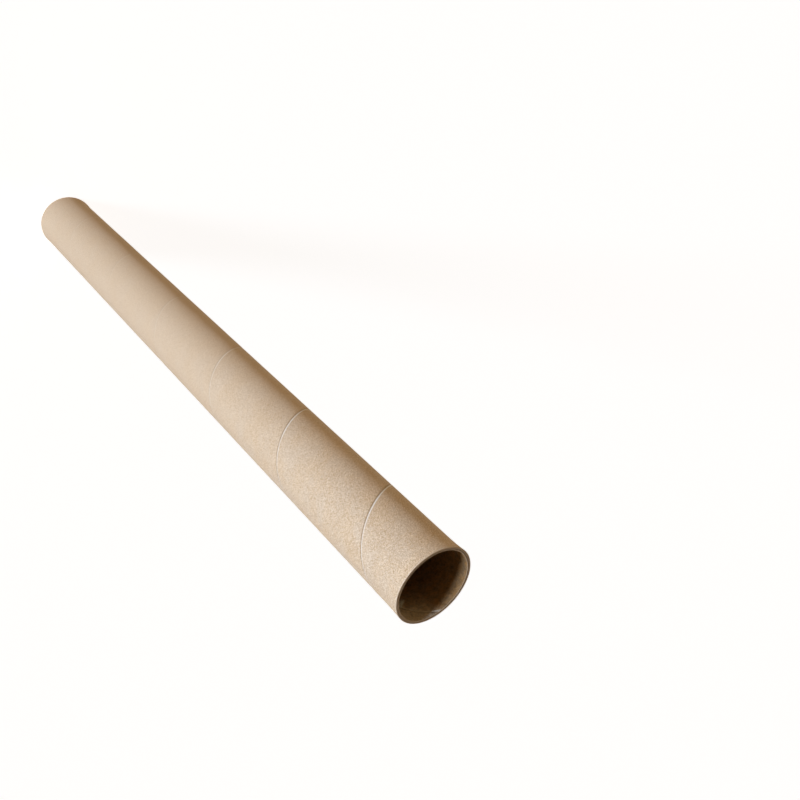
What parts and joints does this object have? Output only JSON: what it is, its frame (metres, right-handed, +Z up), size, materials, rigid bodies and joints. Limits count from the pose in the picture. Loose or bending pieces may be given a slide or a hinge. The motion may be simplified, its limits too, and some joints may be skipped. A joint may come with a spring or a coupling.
{
  "type": "cardboard mailing tube",
  "caption": "Straight round mailing tube of spiral-wound kraft board, open at both square-cut ends, with a helical butt seam outside and inside.",
  "frame": {"origin": "middle of the lower cut end, where the tube stands", "axes": "+Z up along the tube's axis to its other open end; +Y is the side that is uppermost in the picture, where the tube lies"},
  "size_m": [0.052, 0.052, 0.6096],
  "materials": {
    "kraft_board": "matte"
  },
  "bodies": {
    "root": {"cardboard_tube": "kraft_board"}
  },
  "joints": []
}
